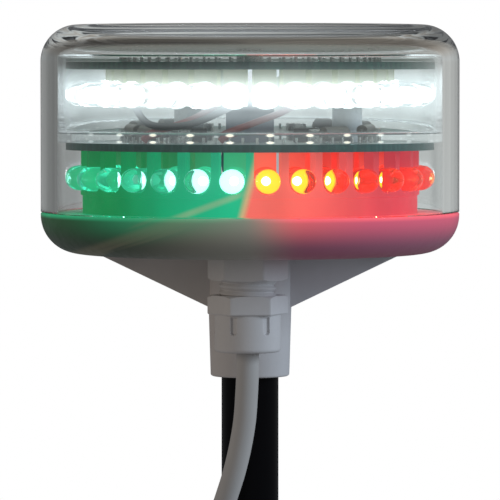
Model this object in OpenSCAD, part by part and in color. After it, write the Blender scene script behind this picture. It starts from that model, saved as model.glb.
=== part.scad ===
// Combined LED navigation light: a ring of sector LEDs (green, red and white stern) under a ring of white
// anchor LEDs, in a clear cover on a white base, held on a mounting tube. Millimetres, +Z up.
// The bow is -Y. Green shows on -X and red on +X. The origin is the centre of the tube's foot.

/* [Overall] */
// Height of the base's underside above the foot of the tube
head_z = 150; // [150:1:180]
// Outside diameter of the base and of the clear cover
head_d = 88; // [88:0.5:90]
// Height from the underside of the base to the top of the cover
head_h = 47.9; // [47.5:0.1:52]

/* [Base] */
// Height of the rim that the cover stands on
rim_h = 8.6; // [8.6:0.1:9.5]
// Radius of the base's rounded lower edge
base_round = 8; // [5:0.5:8]
// Thickness of the base's floor
floor_t = 5; // [5:0.1:5.5]
// Radius of the well that the LED carrier stands in
well_r = 35.3; // [35.3:0.1:36]

/* [Cover] */
// Wall of the clear cover
cover_wall = 3.4; // [3:0.1:3.4]
// Thickness of its flat top
cover_top = 4; // [3.5:0.1:4]
// Outer radius of its top edge
cover_round = 7.75; // [5:0.25:8]
// Inner radius of its top edge
cover_inner_round = 3.5; // [2:0.5:4]

/* [Boards] */
// Radius of the lower board, which carries the sector LEDs
sector_board_r = 38.7; // [38:0.1:39]
// Underside of the lower board above the base's underside
sector_board_z = 21.8; // [21.8:0.1:22.2]
// Radius of the upper board, which carries the anchor LEDs
anchor_board_r = 38.8; // [38:0.1:39]
// Underside of the upper board above the base's underside
anchor_board_z = 38.5; // [38.2:0.1:38.8]
// Thickness of both boards
board_t = 1.6; // [1.6:0.1:1.6]
// Width of the square pillar between the boards
pillar_w = 10; // [8:0.5:11]

/* [LEDs] */
// LEDs in each ring
led_count = 32; // [32:1:32]
// Green LEDs, from the bow round the -X side, and as many red ones on the +X side
side_count = 10; // [10:1:10]
// Diameter of an LED
led_d = 5; // [4.8:0.1:5]
// Length of an LED from its flange to its tip
led_len = 8.6; // [8.4:0.1:8.7]
// Height of the sector LEDs above the base's underside
sector_led_z = 15.9; // [15.7:0.1:16]
// Height of the anchor LEDs above the base's underside
anchor_led_z = 33.05; // [32.9:0.05:33.2]
// Distance from the axis to an LED's tip
led_tip_r = 38.9; // [38.8:0.1:39]

/* [LED carrier] */
// Radius of the carrier's upper wall, which the sector LEDs pass
carrier_r = 35.6; // [35.4:0.1:36]
// Radius of the carrier's skirt
skirt_r = 35.2; // [35:0.1:35.2]
// Height of the step between the two
carrier_step_z = 12.3; // [12.2:0.1:12.6]
// Inner radius of the carrier's wall
carrier_in_r = 33; // [32.8:0.1:33.2]
// Width of a slot in the carrier
slot_w = 5.4; // [5.3:0.1:5.5]

/* [Bracket] */
// Half the span of the gusset where it meets the base
gusset_half = 32.4; // [30:0.1:33]
// Thickness of the gusset
gusset_t = 4.5; // [3.5:0.5:4.5]
// Depth at which the gusset runs into the collar
gusset_z = 11.4; // [10:0.1:13]
// Radius of the collar at its top
collar_top_r = 8.72; // [8.6:0.01:8.72]
// Radius of the collar at its mouth
collar_end_r = 8.3; // [8.2:0.05:8.6]
// Depth of the collar below the base
collar_z = 26; // [24:0.5:30]

/* [Tube] */
// Outside diameter of the mounting tube
tube_d = 12; // [12:1:12]
// Wall of the mounting tube
tube_wall = 1.5; // [1.5:0.1:2]
// Length of the foot that goes into a socket, up to the depth groove
foot_len = 25; // [20:1:25]

/* [Cable gland] */
// Gland axis, left of the middle
gland_x = -0.45; // [-0.5:0.05:0]
// Gland axis, forward of the tube
gland_y = -17.5; // [-18:0.1:-17.5]
// Across the flats of both hexagons
gland_af = 14.6; // [14.4:0.1:14.6]
// Pitch of the gland's thread
thread_pitch = 1.5; // [1.5:0.5:1.5]
// Diameter of the gland's thread
thread_d = 12; // [12:1:12]
// Depth of the body's hexagon
body_hex_h = 4.95; // [4.5:0.05:5]
// Depth at which the tightened nut begins
nut_z = 8.06; // [7.9:0.02:8.2]
// Depth of the nut's hexagon
nut_hex_h = 3.92; // [3.9:0.02:4.2]
// Whole depth of the nut
nut_h = 11.74; // [11.7:0.02:11.8]
// Diameter of the nut below its hexagon
nut_d = 13.75; // [13.7:0.05:14]

/* [Cable] */
// Diameter of the cable
cable_d = 4.7; // [4.5:0.1:4.7]
// Radius of the inner layer of turns in the stowed coil
coil_inner_r = 21.7; // [21.7:0.1:23]

/* [Hidden] */

$fn = 64;
e = 0.5;                                   // how far a cutter runs past the face it opens
head_r = head_d / 2;
bore_r = head_r - cover_wall;              // inside of the cover
pitch = 360 / led_count;                   // angle from one LED to the next
sector_top_z = sector_board_z + board_t;
anchor_top_z = anchor_board_z + board_t;
flange_r = led_tip_r - led_len;            // distance from the axis to the back of an LED
led_flange_r = 2.9;
lead_gap = 1.27;                           // from an LED's middle to each of its leads
lead_w = 0.5;
lead_r = flange_r - 3;                     // where the leads stand up
spacer_w = 4.6;
spacer_t = 2.7;
deck_z = 10;                               // underside of the carrier's deck
deck_t = 2;
plate_t = 2;                               // the bracket's plate, let into the base
plate_x = 68;
plate_y = 16;
screw_x = 26;                              // bracket screws
screw_y = 5.1;
boss_r = 3.2;
carrier_screw_r = 22;
carrier_screw_angles = [30, 90, 150];
board_screw_r = 20;
board_screw_angles = [60, 120, 225, 315];
tongue_in = bore_r + 0.4;                  // the cover's tongue, in the base's groove
tongue_w = 1.6;
tongue_h = 1.4;
groove_h = 2.6;
gland_top = 9.5;                           // top of the gland's inner thread
seat_z = 10.5;                             // top of the rubber seal, below the base
spigot_z = 15.4;                           // lower end of the gland body
shoulder_z = 16.6;                         // inner shoulder of the nut
nut_end = nut_z + nut_h;
tube_top = 1.5;                            // the tube stops this far below the base
tube_screw_z = 19;

// The stowed coil hangs in the plane x = 0, behind the tube.
coil_outer_r = coil_inner_r + cable_d;     // outer layer of turns
coil_ri = coil_inner_r - cable_d / 2;
coil_ro = coil_outer_r + cable_d / 2;
coil_w = 3 * cable_d;
coil_y = tube_d / 2 + 0.2 + coil_ro;
coil_z = -92;
tie_z = [-82, -102];
tie_w = 3.6;
tie_t = 1.1;
tie_gap = 0.15;

// Route of the cable from the nut to the coil. Heights are counted from the underside of the base.
cable_route = [
    [-0.45, -17.5, -19.8], [-0.5, -17.5, -24], [-0.7, -17.5, -28.5], [-1.1, -17.4, -34], [-2, -17, -39.5],
    [-3.3, -16.2, -45], [-5, -14.6, -50.5], [-6.8, -12, -56], [-8.4, -8.6, -62], [-9.3, -4.4, -68.5],
    [-9, 0, -75], [-7.8, 3.4, -82], [-6.4, 6, -88.5], [-5.2, 8.2, -95], [-4.7, 10.2, -101]
];
red_wire_a = [[-21, -22, 23.8], [-20, -22, 24.8], [-15, -21, 26.4], [-10, -19, 28.6], [-4, -16, 33], [1, -13, 38]];
red_wire_b = [[-6, -22, 23.8], [-4.5, -22, 24.9], [1, -21, 27], [7, -20, 29.5], [12, -18, 33], [15, -15, 38]];
black_wire = [
    [-23.6, -9, 38], [-23.8, -11, 32.5], [-22.6, -15.5, 29], [-19.5, -22, 26.6], [-13, -24, 26.6],
    [-7, -23, 28.8], [-1, -18.5, 32.2], [6, -13, 38]
];
core_tops = [[-5, -17.5], [-0.45, -13.5], [4, -17.5]];

// ---- curves ----

// A point on the smooth curve between p1 and p2, with p0 before them and p3 after them.
function between(p0, p1, p2, p3, t) =
    0.5 * (2 * p1 + (p2 - p0) * t + (2 * p0 - 5 * p1 + 4 * p2 - p3) * t * t
        + (3 * p1 - p0 - 3 * p2 + p3) * t * t * t);

// The curve through all of p, with n steps from one point to the next.
function smooth(p, n) = [
    for (i = [0 : len(p) - 2]) for (j = [0 : n - 1])
        between(p[max(i - 1, 0)], p[i], p[i + 1], p[min(i + 2, len(p) - 1)], j / n),
    p[len(p) - 1]
];
function unit(v) = v / norm(v);
function heading(c, i) = unit(c[min(i + 1, len(c) - 1)] - c[max(i - 1, 0)]);

// A round tube along the curve c: its rings of sides points are turned square to the curve.
module sweep(c, r, sides, across = [1, 0, 0]) {
    rings = [
        for (i = [0 : len(c) - 1])
            let (t = heading(c, i), u = unit(cross(t, across)), v = cross(t, u))
            for (k = [0 : sides - 1])
                c[i] + r * (cos(360 * k / sides) * u + sin(360 * k / sides) * v)
    ];
    last = (len(c) - 1) * sides;
    walls = [
        for (i = [0 : len(c) - 2]) for (k = [0 : sides - 1])
            let (a = i * sides + k, b = i * sides + (k + 1) % sides)
            [a, a + sides, b + sides, b]
    ];
    ends = [[for (k = [0 : sides - 1]) k], [for (k = [sides - 1 : -1 : 0]) last + k]];
    polyhedron(points = rings, faces = concat(walls, ends), convexity = 6);
}

// ---- small shapes ----

module hex(af, h) cylinder(h = h, r = af / 2 / cos(30), $fn = 6);

module ring(ro, ri, h) difference() {
    cylinder(h = h, r = ro);
    translate([0, 0, -e]) cylinder(h = h + 2 * e, r = ri);
}

// A pan-head screw, its head's underside at z = 0 and its shank downwards.
module pan_screw(head_r, head_h, shank_r, shank_l) difference() {
    union() {
        cylinder(h = head_h, r = head_r);
        translate([0, 0, -shank_l]) cylinder(h = shank_l + e, r = shank_r);
    }
    for (a = [0, 90]) rotate(a)
        translate([-head_r * 0.6, -0.3, head_h - 0.8]) cube([head_r * 1.2, 0.6, 1]);
}

// A countersunk screw, its flat head at z = 0 and its shank upwards.
module flat_screw(head_r, shank_r, length) difference() {
    union() {
        cylinder(h = head_r - shank_r, r1 = head_r, r2 = shank_r);
        cylinder(h = length, r = shank_r);
    }
    for (a = [45, 135]) rotate(a)
        translate([-head_r * 0.55, -0.3, -0.3]) cube([head_r * 1.1, 0.6, 1]);
}

// Puts its children at the places a ring numbers from..to, counted from the bow. side is 1 for +X, -1 for -X.
module around(from, to, side = 1)
    for (i = [from : to]) rotate([0, 0, side * (i + 0.5) * pitch]) children();

// ---- LEDs ----

// One LED at height z, pointing to the bow.
module led(z) translate([0, -flange_r, z]) rotate([90, 0, 0]) {
    cylinder(h = 1, r = led_flange_r, $fn = 32);
    cylinder(h = led_len - led_d / 2, r = led_d / 2, $fn = 32);
    translate([0, 0, led_len - led_d / 2]) sphere(r = led_d / 2, $fn = 32);
}

// The two leads of an LED: back through the spacer, then up past the top of their board.
module led_leads(z, tip_z)
    for (x = [-lead_gap, lead_gap]) translate([x - lead_w / 2, 0, 0]) {
        translate([0, -flange_r, z - lead_w / 2]) cube([lead_w, flange_r - lead_r + lead_w / 2, lead_w]);
        translate([0, -lead_r - lead_w / 2, z - lead_w / 2]) cube([lead_w, lead_w, tip_z - z + lead_w / 2]);
    }

// The right-angle spacer that holds an LED off its board.
module led_spacer(z, board_z) difference() {
    translate([-spacer_w / 2, -flange_r, z - 2.3]) cube([spacer_w, spacer_t, board_z - z + 2.3]);
    for (x = [-lead_gap, lead_gap])
        translate([x - 0.35, -flange_r - e, z - 0.35]) cube([0.7, spacer_t + 2 * e, 0.7]);
}

module lead_holes()
    around(0, led_count - 1) for (x = [-lead_gap, lead_gap])
        translate([x, -lead_r]) square(0.7, center = true);

// ---- the head, with the base's underside at z = 0 ----

module cover_outline(r, top, round) intersection() {
    union() {
        square([r - round, top]);
        square([r, top - round]);
        translate([r - round, top - round]) circle(round);
    }
    square([r, top]);
}

module clear_cover() color([0.85, 0.9, 0.92, 0.35]) rotate_extrude($fn = 128) {
    difference() {
        cover_outline(head_r, head_h, cover_round);
        cover_outline(bore_r, head_h - cover_top, cover_inner_round);
        square([head_r + 1, rim_h]);
    }
    translate([tongue_in, rim_h - tongue_h]) square([tongue_w, tongue_h]);
}

module cover_seal() color("black") translate([0, 0, rim_h - groove_h])
    ring(tongue_in + tongue_w, tongue_in, groove_h - tongue_h, $fn = 128);

module anchor_lens() color([0.85, 0.9, 0.92, 0.35]) rotate_extrude($fn = 128) {
    translate([bore_r - 1.25, sector_top_z]) square([1.05, anchor_top_z + 1.2 - sector_top_z]);
    translate([37.6, sector_top_z]) square([bore_r - 0.2 - 37.6, 2]);
}

module anchor_board() color([0.05, 0.2, 0.15]) translate([0, 0, anchor_board_z])
    linear_extrude(board_t) difference() {
        circle(anchor_board_r, $fn = 128);
        circle(1.6);
        lead_holes();
    }

module anchor_leds() color("white") around(0, led_count - 1) led(anchor_led_z);

module anchor_led_spacers() color([0.85, 0.8, 0.68])
    around(0, led_count - 1) led_spacer(anchor_led_z, anchor_board_z);

module anchor_led_leads() color("silver")
    around(0, led_count - 1) led_leads(anchor_led_z, anchor_top_z + 1);

module board_pillar() color([0.18, 0.22, 0.3]) translate([0, 0, sector_top_z])
    linear_extrude(anchor_board_z - sector_top_z) difference() {
        square(pillar_w, center = true);
        circle(1.6);
    }

module centre_screw() color("silver") translate([0, 0, anchor_top_z])
    pan_screw(2.8, 2, 1.5, anchor_top_z - 14);

module sector_board() color([0.05, 0.2, 0.15]) translate([0, 0, sector_board_z])
    linear_extrude(board_t) difference() {
        circle(sector_board_r, $fn = 128);
        circle(1.6);
        for (a = board_screw_angles) rotate(a) translate([board_screw_r, 0]) circle(1.4);
        lead_holes();
    }

module green_leds() color("green") around(0, side_count - 1, -1) led(sector_led_z);

module red_leds() color("red") around(0, side_count - 1) led(sector_led_z);

module stern_leds() color("white") around(side_count, led_count - side_count - 1) led(sector_led_z);

module sector_led_spacers() color([0.85, 0.8, 0.68])
    around(0, led_count - 1) led_spacer(sector_led_z, sector_board_z);

module sector_led_leads() color("silver")
    around(0, led_count - 1) led_leads(sector_led_z, sector_top_z + 1.2);

// A slot with a round lower end, from outside the carrier's wall to inside it.
module led_slot() {
    depth = carrier_r - carrier_in_r + 2;
    translate([-slot_w / 2, -carrier_r - 1, sector_led_z])
        cube([slot_w, depth, sector_board_z - sector_led_z + e]);
    translate([0, -carrier_r - 1, sector_led_z]) rotate([-90, 0, 0])
        cylinder(h = depth, r = slot_w / 2, $fn = 32);
}

module led_carrier() color("white") difference() {
    union() {
        translate([0, 0, floor_t]) ring(skirt_r, carrier_in_r, carrier_step_z - floor_t);
        translate([0, 0, carrier_step_z]) ring(carrier_r, carrier_in_r, sector_board_z - carrier_step_z);
        translate([0, 0, deck_z]) cylinder(h = deck_t, r = carrier_in_r + 0.5);
        translate([0, 0, deck_z]) cylinder(h = sector_board_z - deck_z, r = 5);
        for (a = board_screw_angles) rotate(a)
            translate([board_screw_r, 0, deck_z]) cylinder(h = sector_board_z - deck_z, r = 3);
    }
    around(0, led_count - 1) led_slot();
    translate([0, 0, 14]) cylinder(h = 20, r = 1.5);
    translate([gland_x, gland_y, deck_z - e]) cylinder(h = deck_t + 2 * e, r = 4.5);
    for (a = board_screw_angles) rotate(a) translate([board_screw_r, 0, 15]) cylinder(h = 10, r = 1.25);
    for (a = carrier_screw_angles) rotate(a)
        translate([carrier_screw_r, 0, deck_z - e]) cylinder(h = deck_t + 2 * e, r = 1.4);
}

module board_screws() color("silver")
    for (a = board_screw_angles) rotate(a)
        translate([board_screw_r, 0, sector_top_z]) pan_screw(2.2, 1.7, 1.25, sector_top_z - 15);

module carrier_screws() color("silver")
    for (a = carrier_screw_angles) rotate(a)
        translate([carrier_screw_r, 0, deck_z + deck_t]) pan_screw(2.4, 1.6, 1.25, deck_z + deck_t - 6);

// ---- parts on the lower board ----

module resistors() color([0.75, 0.65, 0.5])
    for (a = [20, 48, 132, 160, 200, 218, 312, 340]) rotate(a) translate([25.5, 0, sector_top_z]) {
        translate([0, 3.1, 1.6]) rotate([90, 0, 0]) cylinder(h = 6.2, r = 1.15, $fn = 24);
        for (y = [-4.2, 3.8]) translate([-0.25, y, 0]) cube([0.5, 0.4, 1.85]);
        translate([-0.25, -4.2, 1.35]) cube([0.5, 8.4, 0.5]);
    }

module driver_chips() color([0.1, 0.1, 0.1])
    for (x = [-15, 9]) translate([x, -9, sector_top_z]) cube([6, 5, 1.7]);

module capacitors() color([0.15, 0.2, 0.35])
    for (at = [[-13, 6], [20.5, 0]]) translate([at.x, at.y, sector_top_z]) cylinder(h = 8, r = 3.15);

module inductor() color([0.25, 0.25, 0.27]) translate([0, 13, sector_top_z]) difference() {
    cylinder(h = 5, r = 4.5);
    translate([0, 0, 1]) ring(4.5 + e, 3.4, 3);
}

module link_wires_red() color("red") {
    sweep(smooth(red_wire_a, 3), 0.75, 8, [0, 1, 0]);
    sweep(smooth(red_wire_b, 3), 0.75, 8, [0, 1, 0]);
}

module link_wire_black() color("black") sweep(smooth(black_wire, 3), 0.75, 8, [0, 1, 0]);

module supply_cores() color("blue")
    for (i = [0 : 2])
        sweep(smooth([
            [gland_x + (i - 1) * 1.6, gland_y, gland_top + 1.1], [gland_x + (i - 1) * 1.7, gland_y, 14],
            [core_tops[i].x, core_tops[i].y, 18], [core_tops[i].x, core_tops[i].y, sector_board_z - 0.2]
        ], 3), 0.75, 8);

// ---- base and bracket ----

module base_outline() intersection() {
    union() {
        square([head_r - base_round, rim_h]);
        translate([0, base_round]) square([head_r, rim_h]);
        translate([head_r - base_round, base_round]) circle(base_round);
    }
    square([head_r, rim_h]);
}

module base() color("white") difference() {
    union() {
        rotate_extrude($fn = 128) difference() {
            base_outline();
            translate([0, floor_t]) square([well_r, rim_h]);
            translate([tongue_in, rim_h - groove_h]) square([tongue_w, groove_h + e]);
        }
        for (x = [-screw_x, screw_x], y = [-screw_y, screw_y])
            translate([x, y, floor_t - e]) cylinder(h = 3.5 + e, r = boss_r);
        for (a = carrier_screw_angles) rotate(a)
            translate([carrier_screw_r, 0, floor_t - e]) cylinder(h = deck_z - floor_t + e, r = boss_r);
    }
    translate([-plate_x / 2, -plate_y / 2, -e]) cube([plate_x, plate_y, plate_t + e]);
    translate([gland_x, gland_y, -e]) cylinder(h = floor_t + 2 * e, r = thread_d / 2);
    translate([gland_x, gland_y, -e]) cylinder(h = 1 + e, r = thread_d / 2 + 1.2);
    for (x = [-screw_x, screw_x], y = [-screw_y, screw_y])
        translate([x, y, -e]) cylinder(h = 7.5 + e, r = 1.5);
    for (a = carrier_screw_angles) rotate(a)
        translate([carrier_screw_r, 0, 6]) cylinder(h = 10, r = 1.25);
}

module bracket() color("white") difference() {
    union() {
        translate([-plate_x / 2, -plate_y / 2, 0]) cube([plate_x, plate_y, plate_t]);
        rotate([90, 0, 0]) translate([0, 0, -gusset_t / 2]) linear_extrude(gusset_t) polygon([
            [-gusset_half, 0], [-collar_top_r, -gusset_z], [collar_top_r, -gusset_z], [gusset_half, 0],
            [gusset_half, 1], [-gusset_half, 1]
        ]);
        rotate_extrude() polygon([
            [0, 1], [7, 1], [7, 0], [collar_top_r, 0], [collar_top_r, -gusset_z + 0.5], [collar_end_r, 0.5 - collar_z],
            [collar_end_r - 0.5, -collar_z], [0, -collar_z]
        ]);
    }
    translate([0, 0, -collar_z - e]) cylinder(h = collar_z - tube_top + e, r = tube_d / 2);
    translate([0, 0, -tube_screw_z]) rotate([-90, 0, 0]) cylinder(h = 10, r = 1.5);
    translate([0, 8, -tube_screw_z]) rotate([-90, 0, 0]) cylinder(h = 2, r = 3.1);
    for (x = [-screw_x, screw_x], y = [-screw_y, screw_y]) translate([x, y, 0]) {
        cylinder(h = 1.1, r1 = 2.6, r2 = 1.5);
        translate([0, 0, -e]) cylinder(h = plate_t + 2 * e, r = 1.5);
    }
}

module bracket_screws() color("silver")
    for (x = [-screw_x, screw_x], y = [-screw_y, screw_y]) translate([x, y, 0]) flat_screw(2.6, 1.5, 7.5);

module tube_screw() color("silver")
    translate([0, 8, -tube_screw_z]) rotate([-90, 0, 0]) pan_screw(2.8, 1.8, 1.5, 3.3);

module mounting_tube() color([0.05, 0.05, 0.06]) difference() {
    translate([0, 0, -head_z]) rotate_extrude() difference() {
        square([tube_d / 2, head_z - tube_top]);
        translate([0, -e]) square([tube_d / 2 - tube_wall, head_z + 2 * e]);
        translate([tube_d / 2 - 0.3, foot_len]) square([1, 1]);
    }
    translate([0, 0, -tube_screw_z]) rotate([-90, 0, 0]) cylinder(h = 10, r = 1.5);
}

// ---- cable gland ----

module at_gland() translate([gland_x, gland_y, 0]) children();

// Round thread ridges from z0 down to z1, cut into a plain core.
module thread(z0, z1) {
    turns = floor((z0 - z1) / thread_pitch);
    top_r = thread_d / 2 - 0.06;
    rotate_extrude() polygon(concat(
        [[0, z1], [0, z0]],
        [for (k = [0 : turns - 1]) each [
            [top_r - 0.55, z0 - k * thread_pitch], [top_r, z0 - (k + 0.4) * thread_pitch],
            [top_r, z0 - (k + 0.6) * thread_pitch], [top_r - 0.55, z0 - (k + 1) * thread_pitch]
        ]],
        [[top_r - 0.55, z1]]
    ));
}

module gland_body() color([0.92, 0.92, 0.9]) at_gland() difference() {
    union() {
        translate([0, 0, -1]) cylinder(h = gland_top + 1, r = thread_d / 2 - 0.05);
        translate([0, 0, -body_hex_h]) rotate(-6.8 + 30) intersection() {
            hex(gland_af, body_hex_h);
            rotate_extrude() polygon([
                [0, 0], [gland_af / 2 + 0.3, 0], [9, 0.7], [9, body_hex_h], [0, body_hex_h]
            ]);
        }
        thread(0.5 - body_hex_h, -spigot_z);
    }
    translate([0, 0, -spigot_z - e]) cylinder(h = spigot_z + gland_top + 2 * e, r = 3.4);
    translate([0, 0, -spigot_z - e]) cylinder(h = spigot_z - seat_z + e, r = 4.6);
}

module gland_locknut() color([0.92, 0.92, 0.9]) at_gland() translate([0, 0, floor_t]) difference() {
    hex(17, 4);
    translate([0, 0, -e]) cylinder(h = 4 + 2 * e, r = thread_d / 2);
}

module gland_gasket() color([0.1, 0.1, 0.1]) at_gland() ring(thread_d / 2 + 1.2, thread_d / 2, 1);

module gland_seal() color([0.1, 0.1, 0.1]) at_gland() translate([0, 0, -spigot_z - 0.2])
    ring(4.6, cable_d / 2, spigot_z + 0.2 - seat_z);

module gland_thrust_ring() color([0.92, 0.92, 0.9]) at_gland() translate([0, 0, 0.1 - shoulder_z])
    ring(5.6, cable_d / 2 + 0.4, 0.8);

module gland_nut() color([0.92, 0.92, 0.9]) at_gland() difference() {
    union() {
        translate([0, 0, -nut_z - nut_hex_h]) rotate(4.2 + 30) intersection() {
            hex(gland_af, nut_hex_h);
            rotate_extrude() polygon([
                [0, 0], [9, 0], [9, nut_hex_h - 0.7], [gland_af / 2 + 0.3, nut_hex_h], [0, nut_hex_h]
            ]);
        }
        rotate_extrude() polygon([
            [0, 1 - nut_z - nut_hex_h], [nut_d / 2, 1 - nut_z - nut_hex_h], [nut_d / 2, 0.6 - nut_end],
            [nut_d / 2 - 0.6, -nut_end], [0, -nut_end]
        ]);
    }
    translate([0, 0, -shoulder_z]) cylinder(h = shoulder_z, r = thread_d / 2);
    translate([0, 0, -nut_end - e]) cylinder(h = nut_h, r = 3.2);
    for (i = [0 : 5]) rotate(4.2 + 60 * i) nut_groove();
}

// An upright groove in the nut, under one corner of its hexagon, with a round lower end.
module nut_groove() {
    groove_end = nut_z + nut_hex_h + 4.1;
    translate([nut_d / 2 - 0.5, -0.7, 0.7 - groove_end]) cube([2, 1.4, 3.2]);
    translate([nut_d / 2 - 0.5, 0, 0.7 - groove_end]) rotate([0, 90, 0]) cylinder(h = 2, r = 0.7);
}

// ---- cable ----

module cable_entry() color([0.85, 0.85, 0.85]) at_gland() translate([0, 0, -nut_end])
    cylinder(h = nut_end + gland_top + 1, r = cable_d / 2);

module cable_run() color([0.85, 0.85, 0.85]) sweep(smooth(cable_route, 4), cable_d / 2, 8);

module cable_coil() color([0.85, 0.85, 0.85]) translate([-coil_w / 2, coil_y, coil_z]) rotate([0, 90, 0])
    ring(coil_ro, coil_ri, coil_w);

// The three bared cores at the far end of the cable, inside the coil.
module cable_ends() color([0.3, 0.3, 0.6])
    for (i = [-1 : 1]) translate([-cable_d + i * 1.7, coil_y, coil_z]) rotate([-10, 0, 0])
        translate([0, 0, -coil_ri]) rotate([-50 - 6 * i, 0, 0]) cylinder(h = 18, r = 0.8);

// Outline of what a tie at height z holds: the tube, the front of the coil and a strand beside them.
module tied(z, strand) {
    far = abs(z - coil_z) + tie_w / 2;
    near = abs(z - coil_z) - tie_w / 2;
    front = coil_y - sqrt(coil_ro * coil_ro - near * near);
    back = coil_y - sqrt(coil_ri * coil_ri - far * far);
    hull() {
        circle(tube_d / 2);
        translate([-coil_w / 2, front]) square([coil_w, back - front]);
        if (strand) translate([-7.8, 3.4]) circle(cable_d / 2 + 0.7);
    }
}

module cable_ties() color([0.1, 0.1, 0.1])
    for (i = [0, 1]) translate([0, 0, tie_z[i] - tie_w / 2]) {
        linear_extrude(tie_w) difference() {
            offset(r = tie_gap + tie_t) tied(tie_z[i], i == 0);
            offset(r = tie_gap) tied(tie_z[i], i == 0);
        }
        translate([coil_w / 2 + tie_gap + tie_t, 9, -0.7]) cube([3.6, 5, tie_w + 1.4]);
    }

translate([0, 0, head_z]) clear_cover();
translate([0, 0, head_z]) cover_seal();
translate([0, 0, head_z]) anchor_lens();
translate([0, 0, head_z]) anchor_board();
translate([0, 0, head_z]) anchor_leds();
translate([0, 0, head_z]) anchor_led_spacers();
translate([0, 0, head_z]) anchor_led_leads();
translate([0, 0, head_z]) board_pillar();
translate([0, 0, head_z]) centre_screw();
translate([0, 0, head_z]) sector_board();
translate([0, 0, head_z]) green_leds();
translate([0, 0, head_z]) red_leds();
translate([0, 0, head_z]) stern_leds();
translate([0, 0, head_z]) sector_led_spacers();
translate([0, 0, head_z]) sector_led_leads();
translate([0, 0, head_z]) led_carrier();
translate([0, 0, head_z]) board_screws();
translate([0, 0, head_z]) carrier_screws();
translate([0, 0, head_z]) resistors();
translate([0, 0, head_z]) driver_chips();
translate([0, 0, head_z]) capacitors();
translate([0, 0, head_z]) inductor();
translate([0, 0, head_z]) link_wires_red();
translate([0, 0, head_z]) link_wire_black();
translate([0, 0, head_z]) supply_cores();
translate([0, 0, head_z]) base();
translate([0, 0, head_z]) bracket();
translate([0, 0, head_z]) bracket_screws();
translate([0, 0, head_z]) tube_screw();
translate([0, 0, head_z]) mounting_tube();
translate([0, 0, head_z]) gland_body();
translate([0, 0, head_z]) gland_locknut();
translate([0, 0, head_z]) gland_gasket();
translate([0, 0, head_z]) gland_seal();
translate([0, 0, head_z]) gland_thrust_ring();
translate([0, 0, head_z]) gland_nut();
translate([0, 0, head_z]) cable_entry();
translate([0, 0, head_z]) cable_run();
translate([0, 0, head_z]) cable_coil();
translate([0, 0, head_z]) cable_ends();
translate([0, 0, head_z]) cable_ties();
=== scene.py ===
import math
import bmesh
import bpy
import numpy as np
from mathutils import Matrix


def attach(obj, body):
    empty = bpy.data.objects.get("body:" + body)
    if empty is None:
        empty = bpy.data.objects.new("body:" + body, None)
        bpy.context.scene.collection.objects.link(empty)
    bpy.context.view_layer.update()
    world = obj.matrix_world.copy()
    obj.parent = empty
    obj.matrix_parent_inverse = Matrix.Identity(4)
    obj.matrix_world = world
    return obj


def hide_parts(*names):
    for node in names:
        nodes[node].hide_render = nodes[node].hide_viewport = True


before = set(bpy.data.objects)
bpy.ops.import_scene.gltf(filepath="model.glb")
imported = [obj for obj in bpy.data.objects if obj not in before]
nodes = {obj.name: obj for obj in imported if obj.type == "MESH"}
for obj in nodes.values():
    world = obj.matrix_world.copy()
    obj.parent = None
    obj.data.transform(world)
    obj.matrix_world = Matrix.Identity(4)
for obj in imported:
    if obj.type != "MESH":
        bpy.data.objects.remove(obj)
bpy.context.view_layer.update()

headZ = 0.150      # underside of the base above the foot of the tube
mm = 0.001
print("frame loaded:", len(nodes), "nodes")


# camera, backdrop and lights
stageLook = {
    "cameraAt": (0.0, -0.9, 0.1893),
    "lookAt": (0.0, 0.0, 0.1505),
    "lens": 308.0,
    "floorRadius": 0.55,
    "backdropRadius": 3.2,
    "throughRadius": 3.0,
    "world": (0.155, 0.158, 0.165, 1.0),
    "lampsLookAt": (0.0, 0.0, 0.16),
    "lamps": (
        ("softRight", (1.25, -0.45, 0.55), 10.5, 0.7, (0.76, 0.88, 1.0)),
        ("softLeft", (-1.1, -0.45, 0.35), 2.2, 0.6, (1.0, 0.86, 0.72)),
        ("softTop", (0.0, 0.25, 1.3), 5.0, 0.8, (1.0, 0.98, 0.95)),
    ),
    "bloom": {"Threshold": 1.6, "Smoothness": 0.1, "Maximum": 8.0, "Strength": 0.2, "Size": 0.3},
}
ledPitch = 11.25   # degrees from one LED to the next


def look(name):
    # a fresh material, with its Principled shader
    mat = bpy.data.materials.new(name)
    mat.use_nodes = True
    return mat, mat.node_tree.nodes["Principled BSDF"]


def give(mat, node, inputs):
    # an input is given a value, or the socket that feeds it
    for key, value in inputs.items():
        if isinstance(value, bpy.types.NodeSocket):
            mat.node_tree.links.new(value, node.inputs[key])
        else:
            node.inputs[key].default_value = value


def add(mat, kind, inputs=None, **settings):
    node = mat.node_tree.nodes.new(kind)
    for key, value in settings.items():
        setattr(node, key, value)
    give(mat, node, inputs or {})
    return node


def feed(mat, socket, node, name):
    mat.node_tree.links.new(socket, node.inputs[name])


def calc(mat, operation, a, b=0.0):
    return add(mat, "ShaderNodeMath", {0: a, 1: b}, operation=operation).outputs[0]


def times(mat, a, b):
    return calc(mat, "MULTIPLY", a, b)


def plus(mat, a, b):
    return calc(mat, "ADD", a, b)


def minus(mat, a, b):
    return calc(mat, "SUBTRACT", a, b)


def over(mat, a, b):
    return calc(mat, "DIVIDE", a, b)


def absolute(mat, a):
    return calc(mat, "ABSOLUTE", a)


def longSide(mat, a, b):
    # the root of a squared plus b squared
    return calc(mat, "SQRT", plus(mat, times(mat, a, a), times(mat, b, b)))


def joinedXYZ(mat, x, y, z):
    return add(mat, "ShaderNodeCombineXYZ", {0: x, 1: y, 2: z}).outputs[0]


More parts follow.
